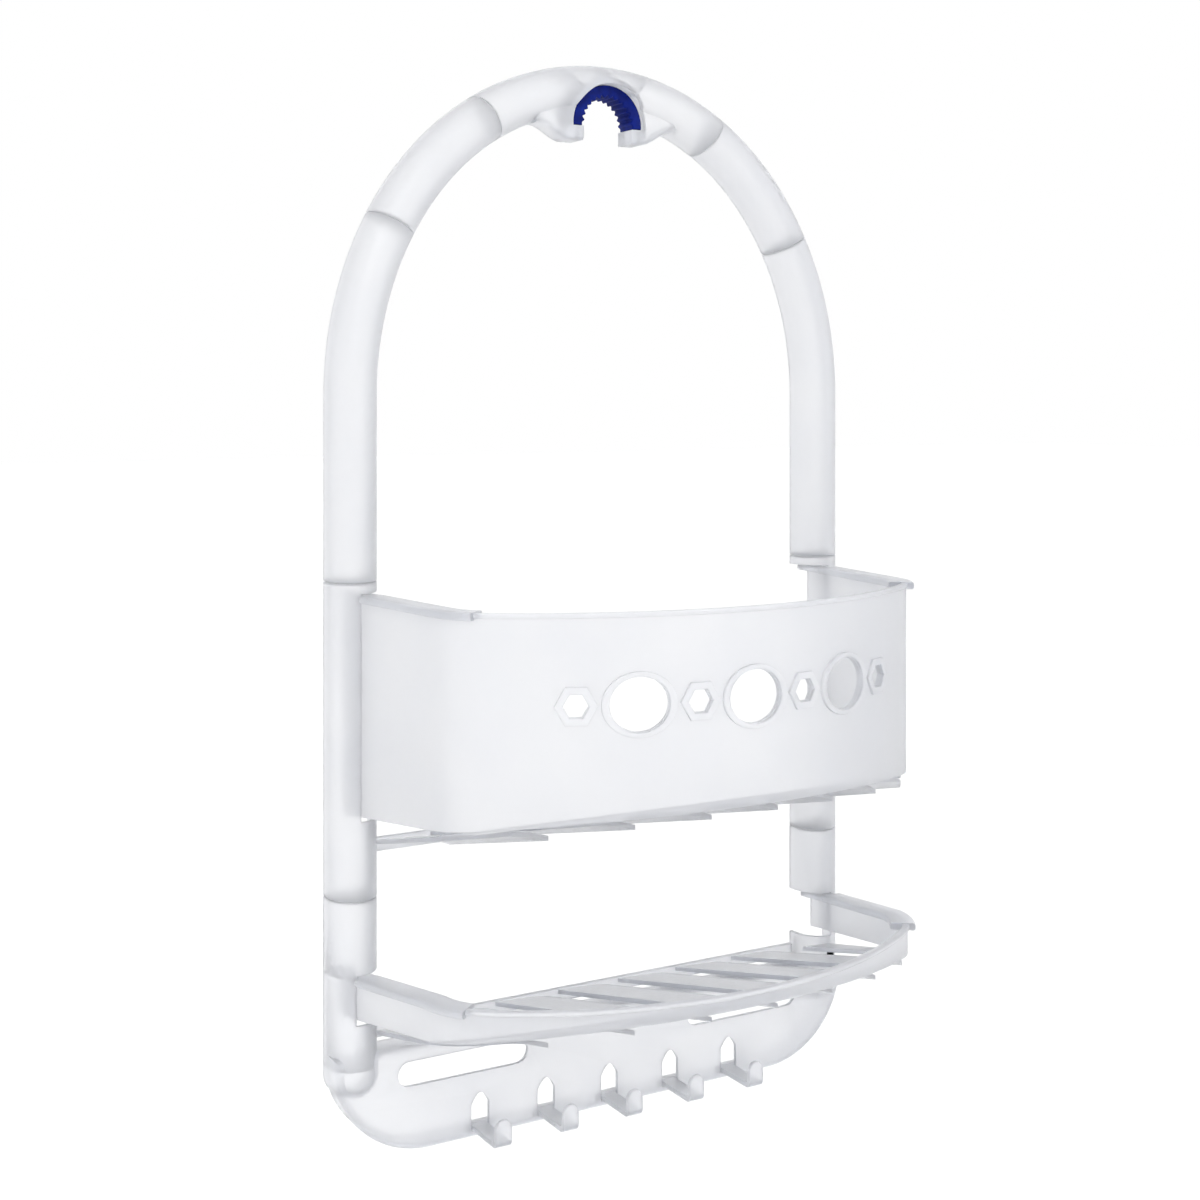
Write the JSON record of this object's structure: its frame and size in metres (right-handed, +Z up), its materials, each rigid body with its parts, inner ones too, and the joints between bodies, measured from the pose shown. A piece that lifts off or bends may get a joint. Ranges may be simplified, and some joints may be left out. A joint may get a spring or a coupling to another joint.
{
  "type": "shower caddy",
  "caption": "Frosted plastic caddy that hangs on a shower arm: arched channel frame, bowed basket, louvred tray and a row of hooks.",
  "frame": {"origin": "centre line of the shower arm in the saddle, on the caddy's back plane", "axes": "+X to the right seen from the front, +Y towards the wall, +Z up"},
  "size_m": [0.2724, 0.1327, 0.486],
  "materials": {
    "frosted": "translucent frosted polypropylene",
    "grip": "soft moulded rubber, satin"
  },
  "bodies": {
    "root": {"hanger_crown": "frosted", "left_shoulder": "frosted", "left_leg": "frosted", "left_basket_post": "frosted", "left_tray_post": "frosted", "right_shoulder": "frosted", "right_leg": "frosted", "right_basket_post": "frosted", "right_tray_post": "frosted", "basket_wall": "frosted", "basket_floor": "frosted", "tray_wall": "frosted", "tray_floor": "frosted", "hook_panel": "frosted", "hook_1": "frosted", "hook_2": "frosted", "hook_3": "frosted", "hook_4": "frosted", "hook_5": "frosted", "saddle_grip": "grip"}
  },
  "joints": []
}
